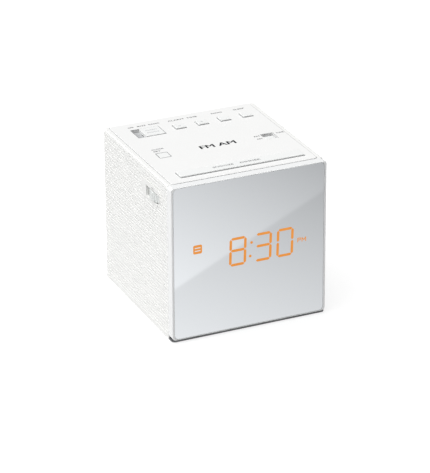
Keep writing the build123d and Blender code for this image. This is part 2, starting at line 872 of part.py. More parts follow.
capacitors = []
for x in (-13.0, -2.0):
    with BuildPart() as capacitor:
        rod(capacitor_radius, (x, capacitor_y, main_board_top), main_board_top + capacitor_height)
        fillet(capacitor.faces().sort_by(Axis.Z)[-1].edges(), 0.5)
    capacitors.append(capacitor.part)
save(Compound(children=capacitors), "filter_capacitors")

coil_cans = []
for x in (10.0, 20.0, 30.0):
    with BuildPart() as coil_can:
        block(
            (x - coil_size / 2, coil_y - coil_size / 2, main_board_top),
            (x + coil_size / 2, coil_y + coil_size / 2, main_board_top + coil_height),
        )
        fillet(coil_can.edges().filter_by(Axis.Z), 0.8)
        rod(coil_core_radius, (x, coil_y, main_board_top + 5), main_board_top + 9, Mode.SUBTRACT)
    coil_cans.append(coil_can.part)
save(Compound(children=coil_cans), "tuning_coils")

# ---- volume control and tuning capacitor ----
with BuildPart() as volume_control:
    rod(volume_body_radius, (-wheel_x, wheel_y, main_board_top), main_board_top + volume_body_height)
    rod(volume_collar_radius, (-wheel_x, wheel_y, main_board_top + 2), volume_collar_top)
    rod(volume_shaft_radius + shaft_fit, (-wheel_x, wheel_y, main_board_top + 2), wheel_low, Mode.SUBTRACT)
save(volume_control.part, "volume_control")

with BuildPart() as tuning_capacitor:
    half = tuning_body_size / 2
    body_x = min(wheel_x, inner_x - half - body_from_wall)
    block(
        (body_x - half, wheel_y - half, main_board_top),
        (body_x + half, wheel_y + half, main_board_top + tuning_body_height),
    )
    fillet(tuning_capacitor.edges().filter_by(Axis.Z), 1.5)
    rod(tuning_shaft_radius + shaft_fit, (wheel_x, wheel_y, main_board_top + 2), wheel_low, Mode.SUBTRACT)
save(tuning_capacitor.part, "tuning_capacitor")


def wheel_shaft(x, radius):
    """The upright shaft of a thumbwheel, drilled at the top for the wheel screw."""
    with BuildPart() as shaft:
        rod(radius, (x, wheel_y, main_board_top + 2.2), shaft_top)
        rod(board_screw_pilot, (x, wheel_y, shaft_top - 4), shaft_top + 1, Mode.SUBTRACT)
    return shaft.part


def thumbwheel(x, shaft_radius):
    """A fluted wheel with a socket for its shaft and a recess for its screw."""
    with BuildPart() as wheel:
        with BuildSketch(Plane.XY.offset(wheel_low)):
            with Locations((x, wheel_y)):
                Circle(wheel_radius)
                with PolarLocations(wheel_radius, wheel_grooves):
                    Circle(wheel_groove_radius, mode=Mode.SUBTRACT)
        extrude(amount=wheel_thickness)
        rod(shaft_radius + push_fit, (x, wheel_y, wheel_low - 1), shaft_top, Mode.SUBTRACT)
        rod(board_screw_radius + 0.1, (x, wheel_y, wheel_low - 1), wheel_high, Mode.SUBTRACT)
        rod(board_screw_head + 0.4, (x, wheel_y, shaft_top + wheel_web), wheel_high + 1, Mode.SUBTRACT)
    return wheel.part


for name, x, radius in (("volume", -wheel_x, volume_shaft_radius), ("tuning", wheel_x, tuning_shaft_radius)):
    save(wheel_shaft(x, radius), f"{name}_shaft")
    save(thumbwheel(x, radius), f"{name}_wheel")
    wheel_screw = board_screw.moved(Location((x, wheel_y, shaft_top + wheel_web)))
    save(wheel_screw, f"{name}_wheel_screw")

# ---- ferrite rod aerial ----
with BuildPart() as ferrite_rod:
    bar_x(rod_radius, (-rod_length / 2, rod_y, rod_z), rod_length / 2)
    chamfer(ferrite_rod.edges().filter_by(GeomType.CIRCLE), 0.4)
save(ferrite_rod.part, "ferrite_rod")

with BuildPart() as aerial_coil:
    coil_left = aerial_coil_x - aerial_coil_length / 2
    bar_x(aerial_coil_radius, (coil_left, rod_y, rod_z), coil_left + aerial_coil_length)
    bar_x(rod_radius + push_fit, (-rod_length / 2, rod_y, rod_z), rod_length / 2, Mode.SUBTRACT)
save(aerial_coil.part, "aerial_coil")

cradles = []
for x in (-rod_length / 2 + 6, rod_length / 2 - 6):
    with BuildPart() as cradle:
        block((x - 2, rod_y - 5.5, main_board_top), (x + 2, rod_y + 5.5, rod_z + 1.5))
        bar_x(rod_radius + push_fit, (x - 3, rod_y, rod_z), x + 3, Mode.SUBTRACT)
        block((x - 3, rod_y - 3, rod_z), (x + 3, rod_y + 3, rod_z + 3), Mode.SUBTRACT)
    cradles.append(cradle.part)
save(Compound(children=cradles), "aerial_cradles")

# ---- display ----
with BuildPart() as led_display_case:
    block(
        (display_x - display_width / 2, display_front, display_z - display_height / 2),
        (display_x + display_width / 2, display_back, display_z + display_height / 2),
    )
    chamfer(led_display_case.edges().filter_by(Axis.Y), 0.8)
    block(
        (display_x - display_width / 2 + 2, display_back - 3, display_z - display_height / 2 + 2),
        (display_x + display_width / 2 - 2, display_back + 1, display_z + display_height / 2 - 2),
        Mode.SUBTRACT,
    )
save(led_display_case.part, "led_display_case")

with BuildPart() as display_board:
    block(
        (display_x - display_width / 2, display_back, display_z - display_board_height / 2),
        (display_x + display_width / 2, display_back + board_thickness, display_z + display_board_height / 2),
    )
    for x, z in display_boss_places:
        bar_y(board_screw_hole, (x, display_back - 1, z), display_back + board_thickness + 1, Mode.SUBTRACT)
save(display_board.part, "display_board")


def segment_outline(centre, length, upright, thickness):
    """The pointed six-sided outline of one display segment, leaning with its digit."""
    half = length / 2 - segment_gap
    side = thickness / 2
    points = [(-half, 0), (-half + side, side), (half - side, side)]
    points += [(half, 0), (half - side, -side), (-half + side, -side)]
    if upright:
        points = [(across, along) for along, across in points]
    lean = math.tan(math.radians(digit_slant))
    outline = []
    for across, up in points:
        z = centre[1] + up
        outline.append((display_x + centre[0] + across + lean * z, display_z + z))
    return outline


def digit_segments(offset):
    """The seven segments of one digit, named a to g from the top clockwise, g in the middle."""
    half = digit_height / 2
    side = digit_width / 2
    upper = half - digit_waist
    lower = half + digit_waist
    return {
        "a": segment_outline((offset, half), digit_width, False, segment_thickness),
        "b": segment_outline((offset + side, digit_waist + upper / 2), upper, True, segment_thickness),
        "c": segment_outline((offset + side, digit_waist - lower / 2), lower, True, segment_thickness),
        "d": segment_outline((offset, -half), digit_width, False, segment_thickness),
        "e": segment_outline((offset - side, digit_waist - lower / 2), lower, True, segment_thickness),
        "f": segment_outline((offset - side, digit_waist + upper / 2), upper, True, segment_thickness),
        "g": segment_outline((offset, digit_waist), digit_width, False, segment_thickness),
    }


def film_from_outlines(outlines):
    """Thin glowing films on the display's face, one solid for each outline."""
    films = []
    for outline in outlines:
        with BuildPart() as film:
            with BuildSketch(Plane.XZ.offset(-display_front)):
                with BuildLine():
                    Polyline(*outline, close=True)
                make_face()
            extrude(amount=segment_film)
        films.append(film.part)
    return films


def stroke_outline(start, end, thickness):
    """The four corners of a straight stroke, from the display's centre."""
    along = Vector(end[0] - start[0], end[1] - start[1]).normalized()
    across = Vector(-along.Y, along.X) * thickness / 2
    corners = []
    for point, sign in ((start, 1), (end, 1), (end, -1), (start, -1)):
        corners.append((display_x + point[0] + sign * across.X, display_z + point[1] + sign * across.Y))
    return corners


lit = []
unlit = []
for offset, shown in zip(digit_offsets, ("", "abcdefg", "abcdg", "abcdef")):
    for name, outline in digit_segments(offset).items():
        if name in shown:
            lit.append(outline)
        else:
            unlit.append(outline)
films = film_from_outlines(lit)

# colon, alarm sign (three bars in a rounded square) and the letters P and M
for x, z in ((0.4, 4.0), (-0.5, -4.6)):
    with BuildPart() as dot:
        with BuildSketch(Plane.XZ.offset(-display_front)):
            with Locations((display_x + x, display_z + z)):
                Circle(colon_dot_radius)
        extrude(amount=segment_film)
    films.append(dot.part)
with BuildPart() as alarm_sign:
    with BuildSketch(Plane.XZ.offset(-display_front)):
        with Locations((display_x + alarm_sign_x, display_z + alarm_sign_z)):
            RectangleRounded(alarm_sign_size, alarm_sign_size, 0.9)
            with GridLocations(1, alarm_sign_size / 3, 1, 2):
                Rectangle(0.65 * alarm_sign_size, 0.12 * alarm_sign_size, mode=Mode.SUBTRACT)
    extrude(amount=segment_film)
films.append(alarm_sign.part)
for left, strokes in (
    (30.6, (((0, 0), (0, 1)), ((0, 1), (0.7, 1)), ((0.7, 1), (0.7, 0.5)), ((0.7, 0.5), (0, 0.5)))),
    (33.4, (((0, 0), (0, 1)), ((0, 1), (0.5, 0.35)), ((0.5, 0.35), (1, 1)), ((1, 1), (1, 0)))),
):
    with BuildPart() as glyph:
        with BuildSketch(Plane.XZ.offset(-display_front)):
            for start, end in strokes:
                first = (left + start[0] * letter, start[1] * letter - 1.6)
                last = (left + end[0] * letter, end[1] * letter - 1.6)
                with BuildLine():
                    Polyline(*stroke_outline(first, last, stroke), close=True)
                make_face()
                for point in (first, last):
                    with Locations((display_x + point[0], display_z + point[1])):
                        Circle(stroke / 2)
        extrude(amount=segment_film)
    films.append(glyph.part)
save(Compound(children=films), "lit_segments")
save(Compound(children=film_from_outlines(unlit)), "unlit_segments")

# ribbon from the back of the display board to the underside of the main board
ribbon_start = display_back + board_thickness
ribbon_back = ribbon_start + ribbon_reach
ribbon_low = display_z - 2
with BuildPart() as display_ribbon:
    block(
        (-ribbon_width / 2, ribbon_start, ribbon_low),
        (ribbon_width / 2, ribbon_back, ribbon_low + ribbon_thickness),
    )
    block(
        (-ribbon_width / 2, ribbon_back - ribbon_thickness, ribbon_low),
        (ribbon_width / 2, ribbon_back, main_board_low),
    )
    low_edges = display_ribbon.edges().filter_by(Axis.X).group_by(Axis.Z)[0]
    fillet(low_edges.sort_by(Axis.Y)[-1:], 0.9 * ribbon_thickness)
save(display_ribbon.part, "display_ribbon")

# ---- loudspeaker ----
flange_back = speaker_seat - speaker_flange
basket_back = flange_back - cone_depth - basket_spare
with BuildPart() as speaker_frame:
    with BuildSketch(Plane.YZ.offset(flange_back)):
        with Locations((speaker_y, speaker_z)):
            RectangleRounded(speaker_size, speaker_size, 4.0)
            Circle(cone_radius + cone_gap, mode=Mode.SUBTRACT)
            with GridLocations(speaker_hole_spread, speaker_hole_spread, 2, 2):
                Circle(board_screw_hole, mode=Mode.SUBTRACT)
    extrude(amount=speaker_flange)
    with BuildSketch(Plane.YZ.offset(flange_back)) as basket_wide:
        with Locations((speaker_y, speaker_z)):
            Circle(cone_radius + cone_gap + 1.0)
    with BuildSketch(Plane.YZ.offset(basket_back)) as basket_narrow:
        with Locations((speaker_y, speaker_z)):
            Circle(magnet_radius + 0.5)
    loft()
    with BuildSketch(Plane.YZ.offset(flange_back + 0.01)) as hollow_wide:
        with Locations((speaker_y, speaker_z)):
            Circle(cone_radius + cone_gap)
    with BuildSketch(Plane.YZ.offset(basket_back + 1.0)) as hollow_narrow:
        with Locations((speaker_y, speaker_z)):
            Circle(magnet_radius - 0.5)
    loft(mode=Mode.SUBTRACT)
    bar_x(voice_coil_radius + 2.5, (basket_back - 1, speaker_y, speaker_z), basket_back + 2, Mode.SUBTRACT)
    # windows between the four legs of the basket
    for turn in (0, 90):
        with Locations(Location((flange_back - cone_depth / 2 - 2.2, speaker_y, speaker_z), (turn, 0, 0))):
            Box(cone_depth - 1.6, 1.2 * magnet_radius, speaker_size, mode=Mode.SUBTRACT)
save(speaker_frame.part, "speaker_frame")

cone_front = flange_back + 0.2
coil_front = cone_front - cone_depth
with BuildPart() as speaker_cone:
    with BuildSketch(Plane.XZ):
        with BuildLine():
            Polyline(
                (cone_front, cone_radius),
                (cone_front, cone_radius - 2.2),
                (coil_front + cone_skin, voice_coil_radius),
                (coil_front + cone_skin + 2.0, 0),
                (coil_front + 2.0, 0),
                (coil_front, voice_coil_radius - 0.5),
                (coil_front - voice_coil_length, voice_coil_radius - 0.5),
                (coil_front - voice_coil_length, voice_coil_radius),
                (coil_front, voice_coil_radius + 0.4),
                (cone_front - cone_skin, cone_radius - 2.2),
                (cone_front - cone_skin, cone_radius),
                close=True,
            )
        make_face()
    revolve(axis=Axis.X)
cone_in_place = speaker_cone.part.moved(Location((0, speaker_y, speaker_z)))
save(cone_in_place, "speaker_cone")

with BuildPart() as speaker_magnet:
    magnet_face = (basket_back - seam_gap, speaker_y, speaker_z)
    magnet_back = basket_back - magnet_thickness
    bar_x(magnet_radius, magnet_face, magnet_back)
    bar_x(voice_coil_radius + coil_air_gap, magnet_face, magnet_back + 2, Mode.SUBTRACT)
    bar_x(pole_radius, magnet_face, magnet_back + 1)
save(speaker_magnet.part, "speaker_magnet")

# ---- transformer ----
core_low = floor_z + tab_post + tab_thickness
core_high = core_low + core_height
core_left = transformer_x - core_width / 2
core_right = transformer_x + core_width / 2
window = (core_width - 2 * core_limb) / 2
with BuildPart() as transformer_core:
    block(
        (core_left, transformer_y - core_depth / 2, floor_z + tab_post),
        (core_right, transformer_y + core_depth / 2, core_high),
    )
    for side in (-1, 1):
        middle = transformer_x + side * (core_limb / 2 + window / 2)
        block(
            (middle - window / 2, transformer_y - core_depth, core_low + core_limb / 2),
            (middle + window / 2, transformer_y + core_depth, core_high - core_limb / 2),
            Mode.SUBTRACT,
        )
    block(
        (core_left - tab_reach, transformer_y - 4, floor_z + tab_post),
        (core_right + tab_reach, transformer_y + 4, core_low),
    )
    for side in (-1, 1):
        x = transformer_x + side * (core_width / 2 + tab_reach / 2)
        rod(board_screw_hole, (x, transformer_y, floor_z), core_low + 1, Mode.SUBTRACT)
save(transformer_core.part, "transformer_core")

with BuildPart() as transformer_winding:
    winding_half = core_limb / 2 + window - winding_gap
    winding_inset = core_limb / 2 + winding_gap
    block(
        (transformer_x - winding_half, transformer_y - winding_depth / 2, core_low + winding_inset),
        (transformer_x + winding_half, transformer_y + winding_depth / 2, core_high - winding_inset),
    )
    fillet(transformer_winding.edges().filter_by(Axis.Z), 2.5)
    block(
        (transformer_x - core_limb / 2 - 0.1, transformer_y - core_depth / 2 - 0.1, core_low),
        (transformer_x + core_limb / 2 + 0.1, transformer_y + core_depth / 2 + 0.1, core_high),
        Mode.SUBTRACT,
    )
save(transformer_winding.part, "transformer_winding")

# ---- gland for the mains lead ----
with BuildPart() as cord_gland:
    with BuildSketch(Plane.XY):
        with BuildLine():
            Polyline(
                (gland_bore_radius, rear_y),
                (gland_radius - 0.3, rear_y),
                (gland_radius, rear_y - 0.3),
                (gland_radius, rear_y - gland_flange),
                (gland_neck_radius, rear_y - gland_flange),
                (gland_neck_radius, rear_y - wall - seam_gap),
                (gland_radius, rear_y - wall - seam_gap),
                (gland_neck_radius, rear_y - gland_length),
                (gland_bore_radius, rear_y - gland_length),
                close=True,
            )
        make_face()
    revolve(axis=Axis.Y)
gland_in_place = cord_gland.part.moved(Location((gland_x, 0, gland_z)))
save(gland_in_place, "cord_gland")

# ---- battery tray, cell and contacts ----
cell_y = tray_back - tray_length + cell_radius + 2.0
with BuildPart() as battery_tray:
    block(
        (tray_x - tray_width / 2, tray_back - tray_length, tray_low),
        (tray_x + tray_width / 2, tray_back, tray_top),
    )
    block(
        (tray_x - face_half, tray_back, tray_low),
        (tray_x + face_half, rear_y, tray_top + tray_face_margin),
    )
    rod(cell_radius + 0.15, (tray_x, cell_y, tray_top - cell_thickness), tray_top + 1, Mode.SUBTRACT)
    rod(cell_radius - 2.0, (tray_x, cell_y, tray_low - 1), tray_top + 1, Mode.SUBTRACT)
    # finger notch in the face
    with Locations((tray_x, rear_y + 1.6, (tray_low + tray_top) / 2 + 0.8)):
        Cylinder(2.6, 8.0, rotation=(0, 90, 0), mode=Mode.SUBTRACT)
save(battery_tray.part, "battery_tray")

with BuildPart() as coin_cell:
    rod(cell_radius, (tray_x, cell_y, tray_top - cell_thickness), tray_top - 0.3)
    rod(cell_radius - 1.5, (tray_x, cell_y, tray_top - 1), tray_top)
save(coin_cell.part, "coin_cell")

contacts = []
for y in (cell_y - 4.0, cell_y + 4.0):
    with BuildPart() as contact:
        reach = tray_width / 2 + tray_gap + rail_thickness
        block(
            (tray_x - reach, y - 1.5, tray_top + 0.2),
            (tray_x + reach, y + 1.5, tray_top + 0.2 + contact_thickness),
        )
    contacts.append(contact.part)
save(Compound(children=contacts), "battery_contacts")

# ---- screws ----
save(
    screw_group(case_screw, [Location((x, y, base_z + screw_head_sink), head_down) for x, y in post_places]),
    "case_screws",
)
save(
    screw_group(
        bezel_screw,
        [Location((x, seam_y + lug_depth, z), head_rearward) for x, z in bezel_lug_places],
    ),
    "bezel_screws",
)
board_screw_places = [Location((x, y, key_board_low), head_down) for x, y in panel_boss_places]
board_screw_places += [Location((x, y, main_board_top), head_up) for x, y in shelf_places]
board_screw_places += [
    Location((x, display_back + board_thickness, z), head_rearward) for x, z in display_boss_places
]
board_screw_places += [
    Location((flange_back, speaker_y + y, speaker_z + z), head_leftward)
    for y in (-speaker_hole_offset, speaker_hole_offset)
    for z in (-speaker_hole_offset, speaker_hole_offset)
]
board_screw_places += [
    Location((transformer_x + side * (core_width / 2 + tab_reach / 2), transformer_y, core_low), head_up)
    for side in (-1, 1)
]
save(screw_group(board_screw, board_screw_places), "board_screws")
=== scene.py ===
import json
import math

import bpy
from mathutils import Matrix, Vector


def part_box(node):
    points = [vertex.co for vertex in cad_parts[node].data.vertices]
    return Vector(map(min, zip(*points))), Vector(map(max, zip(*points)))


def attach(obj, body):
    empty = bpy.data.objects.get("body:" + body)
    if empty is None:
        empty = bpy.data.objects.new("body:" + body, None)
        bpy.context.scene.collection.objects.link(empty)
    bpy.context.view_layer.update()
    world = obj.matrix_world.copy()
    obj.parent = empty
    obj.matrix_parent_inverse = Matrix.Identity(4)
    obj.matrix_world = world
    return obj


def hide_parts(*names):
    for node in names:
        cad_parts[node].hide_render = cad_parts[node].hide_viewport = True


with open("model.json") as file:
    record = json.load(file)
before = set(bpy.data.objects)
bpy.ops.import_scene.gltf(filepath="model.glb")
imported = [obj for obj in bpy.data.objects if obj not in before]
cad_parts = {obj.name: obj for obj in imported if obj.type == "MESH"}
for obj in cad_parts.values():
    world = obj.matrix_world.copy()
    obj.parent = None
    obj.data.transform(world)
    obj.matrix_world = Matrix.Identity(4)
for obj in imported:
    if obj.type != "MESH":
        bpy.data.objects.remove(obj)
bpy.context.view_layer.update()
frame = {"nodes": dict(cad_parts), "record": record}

bl_info = {
    "name": "Clock radio",
    "version": (1, 0, 0),
    "blender": (4, 5, 0),
    "location": "3D View > Sidebar > Clock radio",
    "description": "Finishes, printing and a studio for a cube-shaped clock radio",
    "category": "Object",
}

# The whole object as the frame gives it, before anything is added.
NODES = frame["nodes"]
MM = 0.001

# Places that everything else is worked out from.
PANEL_LOW, PANEL_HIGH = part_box("top_panel")
SHELL_LOW, SHELL_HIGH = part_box("cabinet_shell")
BEZEL_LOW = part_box("front_bezel")[0]
MIRROR_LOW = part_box("mirror_panel")[0]
TOP = PANEL_HIGH.z
LEFT = BEZEL_LOW.x
FRONT = BEZEL_LOW.y
REAR = SHELL_HIGH.y
INK_DEPTH = 0.03 * MM
MERGE_DISTANCE = 0.002 * MM

# A key's box takes in its hidden flange. The opening round a raised key, and the outline round the
# flush one, lie this far inside that box.
FLANGE_TO_OPENING = 0.8 * MM
FLANGE_TO_OUTLINE = 0.75 * MM

# The alarm slide's opening: the knob, the gap round it and the way that it travels to the left.
KNOB_TO_OPENING = 0.2 * MM
JOINTS = {joint["name"]: joint for joint in frame["record"]["behaviour"]["joints"]}
ALARM_TRAVEL = -JOINTS["alarm_mode_slide"]["range_m"][0]

# Thin rings of painted shade round the top panel, the keys and the alarm slide, the printed outline
# round the clock key, and the radius of their corners.
LINE_WIDTH = 0.3 * MM
KEY_LINE_WIDTH = 0.35 * MM
PANEL_CORNER = 2.2 * MM
KEY_CORNER = 0.4 * MM
OUTLINE_CORNER = 0.6 * MM

# Type sizes. A word's bold is how far apart its two printings lie, and the letters on the snooze
# bar and the alarm knob are shares of the legends' cap height.
CAP_SHARE = 0.7
LEGEND_BOLD = 0.12 * MM
MARK_BOLD = 0.45 * MM
MARK_HEIGHT = 4.6 * MM
SNOOZE_SHARE = 1.15
KNOB_SHARE = 0.95
SIGN_WIDTH = 1.8 * MM
MINUS_HEIGHT = 0.45 * MM
KNOB_WORD_WIDTH = 7.6 * MM
VOLUME_WORD_WIDTH = 3.4 * MM
VOLUME_WORD_HEIGHT = 1.1 * MM
VOLUME_WORD_RISE = 1.9 * MM

# Printed words, as word, left and right end from the cabinet's left side, and distance from its
# rear, in millimetres.
TOP_WORDS = (
    ("OFF", 13.2, 17.0, 7.4),
    ("BUZZ", 19.2, 24.8, 7.4),
    ("RADIO", 26.8, 33.8, 7.4),
    ("ALARM  TIME", 39.5, 58.8, 7.4),
    ("RADIO", 68.4, 75.6, 7.4),
    ("SLEEP", 83.3, 90.6, 7.4),
    ("CLOCK", 12.6, 20.4, 45.0),
    ("SET", 12.6, 17.2, 48.0),
    ("FM", 76.6, 80.0, 52.0),
    ("AM", 76.6, 80.0, 56.2),
    ("TUNE", 91.2, 96.2, 52.0),
)
SNOOZE_WORDS = (("SNOOZE", 34.0, 47.2, 85.9), ("DIMMER", 51.5, 64.5, 85.9))
MARK_WORD = ("FM AM", 40.4, 63.2, 53.9)

# The knob's words, each with its place as a share of the knob's depth from the front.
KNOB_WORDS = (("ALARM", 0.66), ("MODE", 0.36))

# The camera faces this height over the shell's foot, and then stands this far right and down.
AIM_HEIGHT = 50 * MM
AIM_RIGHT = 0.80 * MM
AIM_DOWN = 10.91 * MM


# ---- colours and nodes ----
def linear(hex_colour):
    """Turns an sRGB hex colour, such as f2f2f0, into linear red, green, blue and alpha."""
    parts = [int(hex_colour[at : at + 2], 16) / 255 for at in (0, 2, 4)]
    parts = [((part + 0.055) / 1.055) ** 2.4 if part > 0.04045 else part / 12.92 for part in parts]
    return (*parts, 1.0)


def add_node(tree, kind, inputs=None, **settings):
    """Adds one node with its settings; each input is a number, a colour or another node's output."""
    node = tree.nodes.new(kind)
    for name, value in settings.items():
        setattr(node, name, value)
    for name, value in (inputs or {}).items():
        if isinstance(value, bpy.types.NodeSocket):
            tree.links.new(value, node.inputs[name])
        else:
            node.inputs[name].default_value = value
    return node


def start_material(name):
    """A new empty node material, with its tree and its Object coordinates."""
    material = bpy.data.materials.new(name)
    material.use_nodes = True
    tree = material.node_tree
    tree.nodes.clear()
    place = add_node(tree, "ShaderNodeTexCoord").outputs["Object"]
    return material, tree, place


def end_material(material, tree, shader, viewport_colour):
    """Joins the shader to the output and gives the viewport its plain colour."""
    output = add_node(tree, "ShaderNodeOutputMaterial", {"Surface": shader})
    output.is_active_output = True
    material.diffuse_color = viewport_colour
    return material


def paint(node_name, material):
    """Gives every material slot of one CAD node its finished material."""
    for slot in NODES[node_name].material_slots:
        slot.material = material


# ---- materials ----
def moulded_plastic(name, colour, shade, grain, roughness, coat=0.0, relief=0.012):
    """Injection-moulded ABS. The mould's spark-eroded grain breaks up the gloss, the thick and thin
    places of the wall give a faint cloudiness, and polished moulds leave a slight waviness. Rubber,
    nylon, acetal, ferrite, ink and the grey rings of painted shade in the seams have the same fine
    dull grain in other colours."""
    material, tree, place = start_material(name)
    grains = add_node(
        tree,
        "ShaderNodeTexNoise",
        {"Vector": place, "Scale": 1 / (grain * MM), "Detail": 4.0, "Roughness": 0.6},
    )
    clouds = add_node(tree, "ShaderNodeTexNoise", {"Vector": place, "Scale": 1 / (14 * MM), "Detail": 2.0})
    colours = add_node(
        tree,
        "ShaderNodeMix",
        {"Factor": clouds.outputs["Fac"], "A": linear(colour), "B": linear(shade)},
        data_type="RGBA",
    )
    gloss = add_node(
        tree,
        "ShaderNodeMapRange",
        {"Value": grains.outputs["Fac"], "To Min": roughness * 0.88, "To Max": roughness * 1.12},
    )
    bump = add_node(
        tree,
        "ShaderNodeBump",
        {"Height": grains.outputs["Fac"], "Strength": 0.5, "Distance": relief * MM},
    )
    shader = add_node(
        tree,
        "ShaderNodeBsdfPrincipled",
        {
            "Base Color": colours.outputs["Result"],
            "Roughness": gloss.outputs["Result"],
            "IOR": 1.53,
            "Coat Weight": coat,
            "Coat Roughness": 0.08,
            "Normal": bump.outputs["Normal"],
        },
    )
    return end_material(material, tree, shader.outputs["BSDF"], linear(colour))


def half_silvered_acrylic(name, tint, waviness):
    """Acrylic sheet with a thin vacuum-coated silver layer: a clear, slightly cool reflection that
    the cast sheet bends a very little, and a few points softer where the coat is thin."""
    material, tree, place = start_material(name)
    sheet = add_node(tree, "ShaderNodeTexNoise", {"Vector": place, "Scale": 1 / (35 * MM), "Detail": 1.0})
    coat = add_node(tree, "ShaderNodeTexNoise", {"Vector": place, "Scale": 1 / (6 * MM), "Detail": 3.0})
    gloss = add_node(
        tree, "ShaderNodeMapRange", {"Value": coat.outputs["Fac"], "To Min": 0.035, "To Max": 0.06}
    )
    bump = add_node(
        tree,
        "ShaderNodeBump",
        {"Height": sheet.outputs["Fac"], "Strength": 0.2, "Distance": waviness * MM},
    )
    shader = add_node(
        tree,
        "ShaderNodeBsdfPrincipled",
        {
            "Base Color": linear(tint),
            "Metallic": 1.0,
            "Roughness": gloss.outputs["Result"],
            "Normal": bump.outputs["Normal"],
        },
    )
    return end_material(material, tree, shader.outputs["BSDF"], linear(tint))


def metal(name, colour, roughness, streak):
    """Bright metal, drawn or tumbled: fine streaks along X spread its highlights."""
    material, tree, place = start_material(name)
    stretched = add_node(tree, "ShaderNodeMapping", {"Vector": place, "Scale": (streak, 1.0, 1.0)})
    lines = add_node(
        tree,
        "ShaderNodeTexNoise",
        {"Vector": stretched.outputs["Vector"], "Scale": 1 / (0.3 * MM), "Detail": 3.0},
    )
    gloss = add_node(
        tree,
        "ShaderNodeMapRange",
        {"Value": lines.outputs["Fac"], "To Min": roughness * 0.7, "To Max": roughness * 1.3},
    )
    bump = add_node(
        tree,
        "ShaderNodeBump",
        {"Height": lines.outputs["Fac"], "Strength": 0.3, "Distance": 0.005 * MM},
    )
    shader = add_node(
        tree,
        "ShaderNodeBsdfPrincipled",
        {
            "Base Color": linear(colour),
            "Metallic": 1.0,
            "Roughness": gloss.outputs["Result"],
            "Normal": bump.outputs["Normal"],
        },
    )
    return end_material(material, tree, shader.outputs["BSDF"], linear(colour))


def layered(name, colour, gap_colour, pitch, axis, roughness, metallic=0.0):
    """Bands of one pitch along an axis: steel sheets in a core, turns of enamelled wire or of tape,
    the wires of a ribbon, rings pressed in paper, or copper tracks under a green solder resist."""
    material, tree, place = start_material(name)
    bands = add_node(
        tree,
        "ShaderNodeTexWave",
        {"Vector": place, "Scale": math.pi / (10 * pitch * MM), "Distortion": 0.15, "Detail": 1.0},
        bands_direction=axis,
    )
    colours = add_node(
        tree,
        "ShaderNodeMix",
        {"Factor": bands.outputs["Fac"], "A": linear(gap_colour), "B": linear(colour)},
        data_type="RGBA",
    )
    bump = add_node(
        tree,
        "ShaderNodeBump",
        {"Height": bands.outputs["Fac"], "Strength": 0.4, "Distance": 0.1 * pitch * MM},
    )
    shader = add_node(
        tree,
        "ShaderNodeBsdfPrincipled",
        {
            "Base Color": colours.outputs["Result"],
            "Metallic": metallic,
            "Roughness": roughness,
            "Normal": bump.outputs["Normal"],
        },
    )
    return end_material(material, tree, shader.outputs["BSDF"], linear(colour))


def glowing_film(name, colour, deep, strength):
    """A light-guide film over orange lamps, with a faint unevenness where they stand behind it."""
    material, tree, place = start_material(name)
    lamps = add_node(tree, "ShaderNodeTexNoise", {"Vector": place, "Scale": 1 / (3.2 * MM), "Detail": 1.0})
    colours = add_node(
        tree,
        "ShaderNodeMix",
        {"Factor": lamps.outputs["Fac"], "A": linear(deep), "B": linear(colour)},
        data_type="RGBA",
    )
    shader = add_node(
        tree,
        "ShaderNodeBsdfPrincipled",
        {
            "Base Color": linear("2a1406"),
            "Roughness": 0.6,
            "Specular IOR Level": 0.1,
            "Emission Color": colours.outputs["Result"],
            "Emission Strength": strength,
        },
    )
    return end_material(material, tree, shader.outputs["BSDF"], linear(colour))


# ---- modelling helpers ----
def only(piece):
    """Deselects everything and selects one piece."""
    bpy.ops.object.select_all(action="DESELECT")
    piece.select_set(True)
    bpy.context.view_layer.objects.active = piece


def settle(piece):
    """Applies a piece's place, turn and size to its mesh and turns its faces outwards."""
    only(piece)
    bpy.ops.object.transform_apply(location=True, rotation=True, scale=True)
    bpy.ops.object.mode_set(mode="EDIT")
    bpy.ops.mesh.select_all(action="SELECT")
    bpy.ops.mesh.remove_doubles(threshold=MERGE_DISTANCE)
    bpy.ops.mesh.normals_make_consistent(inside=False)
    bpy.ops.object.mode_set(mode="OBJECT")


def printed_word(words, centre, width, height, bold=0.0, turn=(0.0, 0.0, 0.0)):
    """One printed word of a given width and cap height, in metres, as a thin layer of ink. Bold
    words are printed twice, a little apart."""
    bpy.ops.object.select_all(action="DESELECT")
    bpy.ops.object.text_add(location=centre, rotation=turn)
    word = bpy.context.object
    word.data.body = words
    word.data.align_x = "CENTER"
    word.data.align_y = "CENTER"
    word.data.size = height / CAP_SHARE
    word.data.extrude = INK_DEPTH / 2
    word.data.resolution_u = 3
    bpy.ops.object.convert(target="MESH")
    word = bpy.context.object
    word.scale = (width / word.dimensions.x, height / word.dimensions.y, 1.0)
    settle(word)
    if bold:
        bpy.ops.object.mode_set(mode="EDIT")
        bpy.ops.mesh.select_all(action="SELECT")
        bpy.ops.transform.translate(value=(-bold / 2, 0.0, 0.0))
        bpy.ops.mesh.duplicate_move(TRANSFORM_OT_translate={"value": (bold, 0.0, 0.0)})
        bpy.ops.object.mode_set(mode="OBJECT")
    return word


def word_on_top(words, left, right, from_rear, height, level, bold=LEGEND_BOLD):
    """A word on the top, placed in millimetres from the cabinet's left side and its rear."""
    centre = Vector((LEFT + (left + right) / 2 * MM, REAR - from_rear * MM, level))
    return printed_word(words, centre, (right - left) * MM, height, bold)


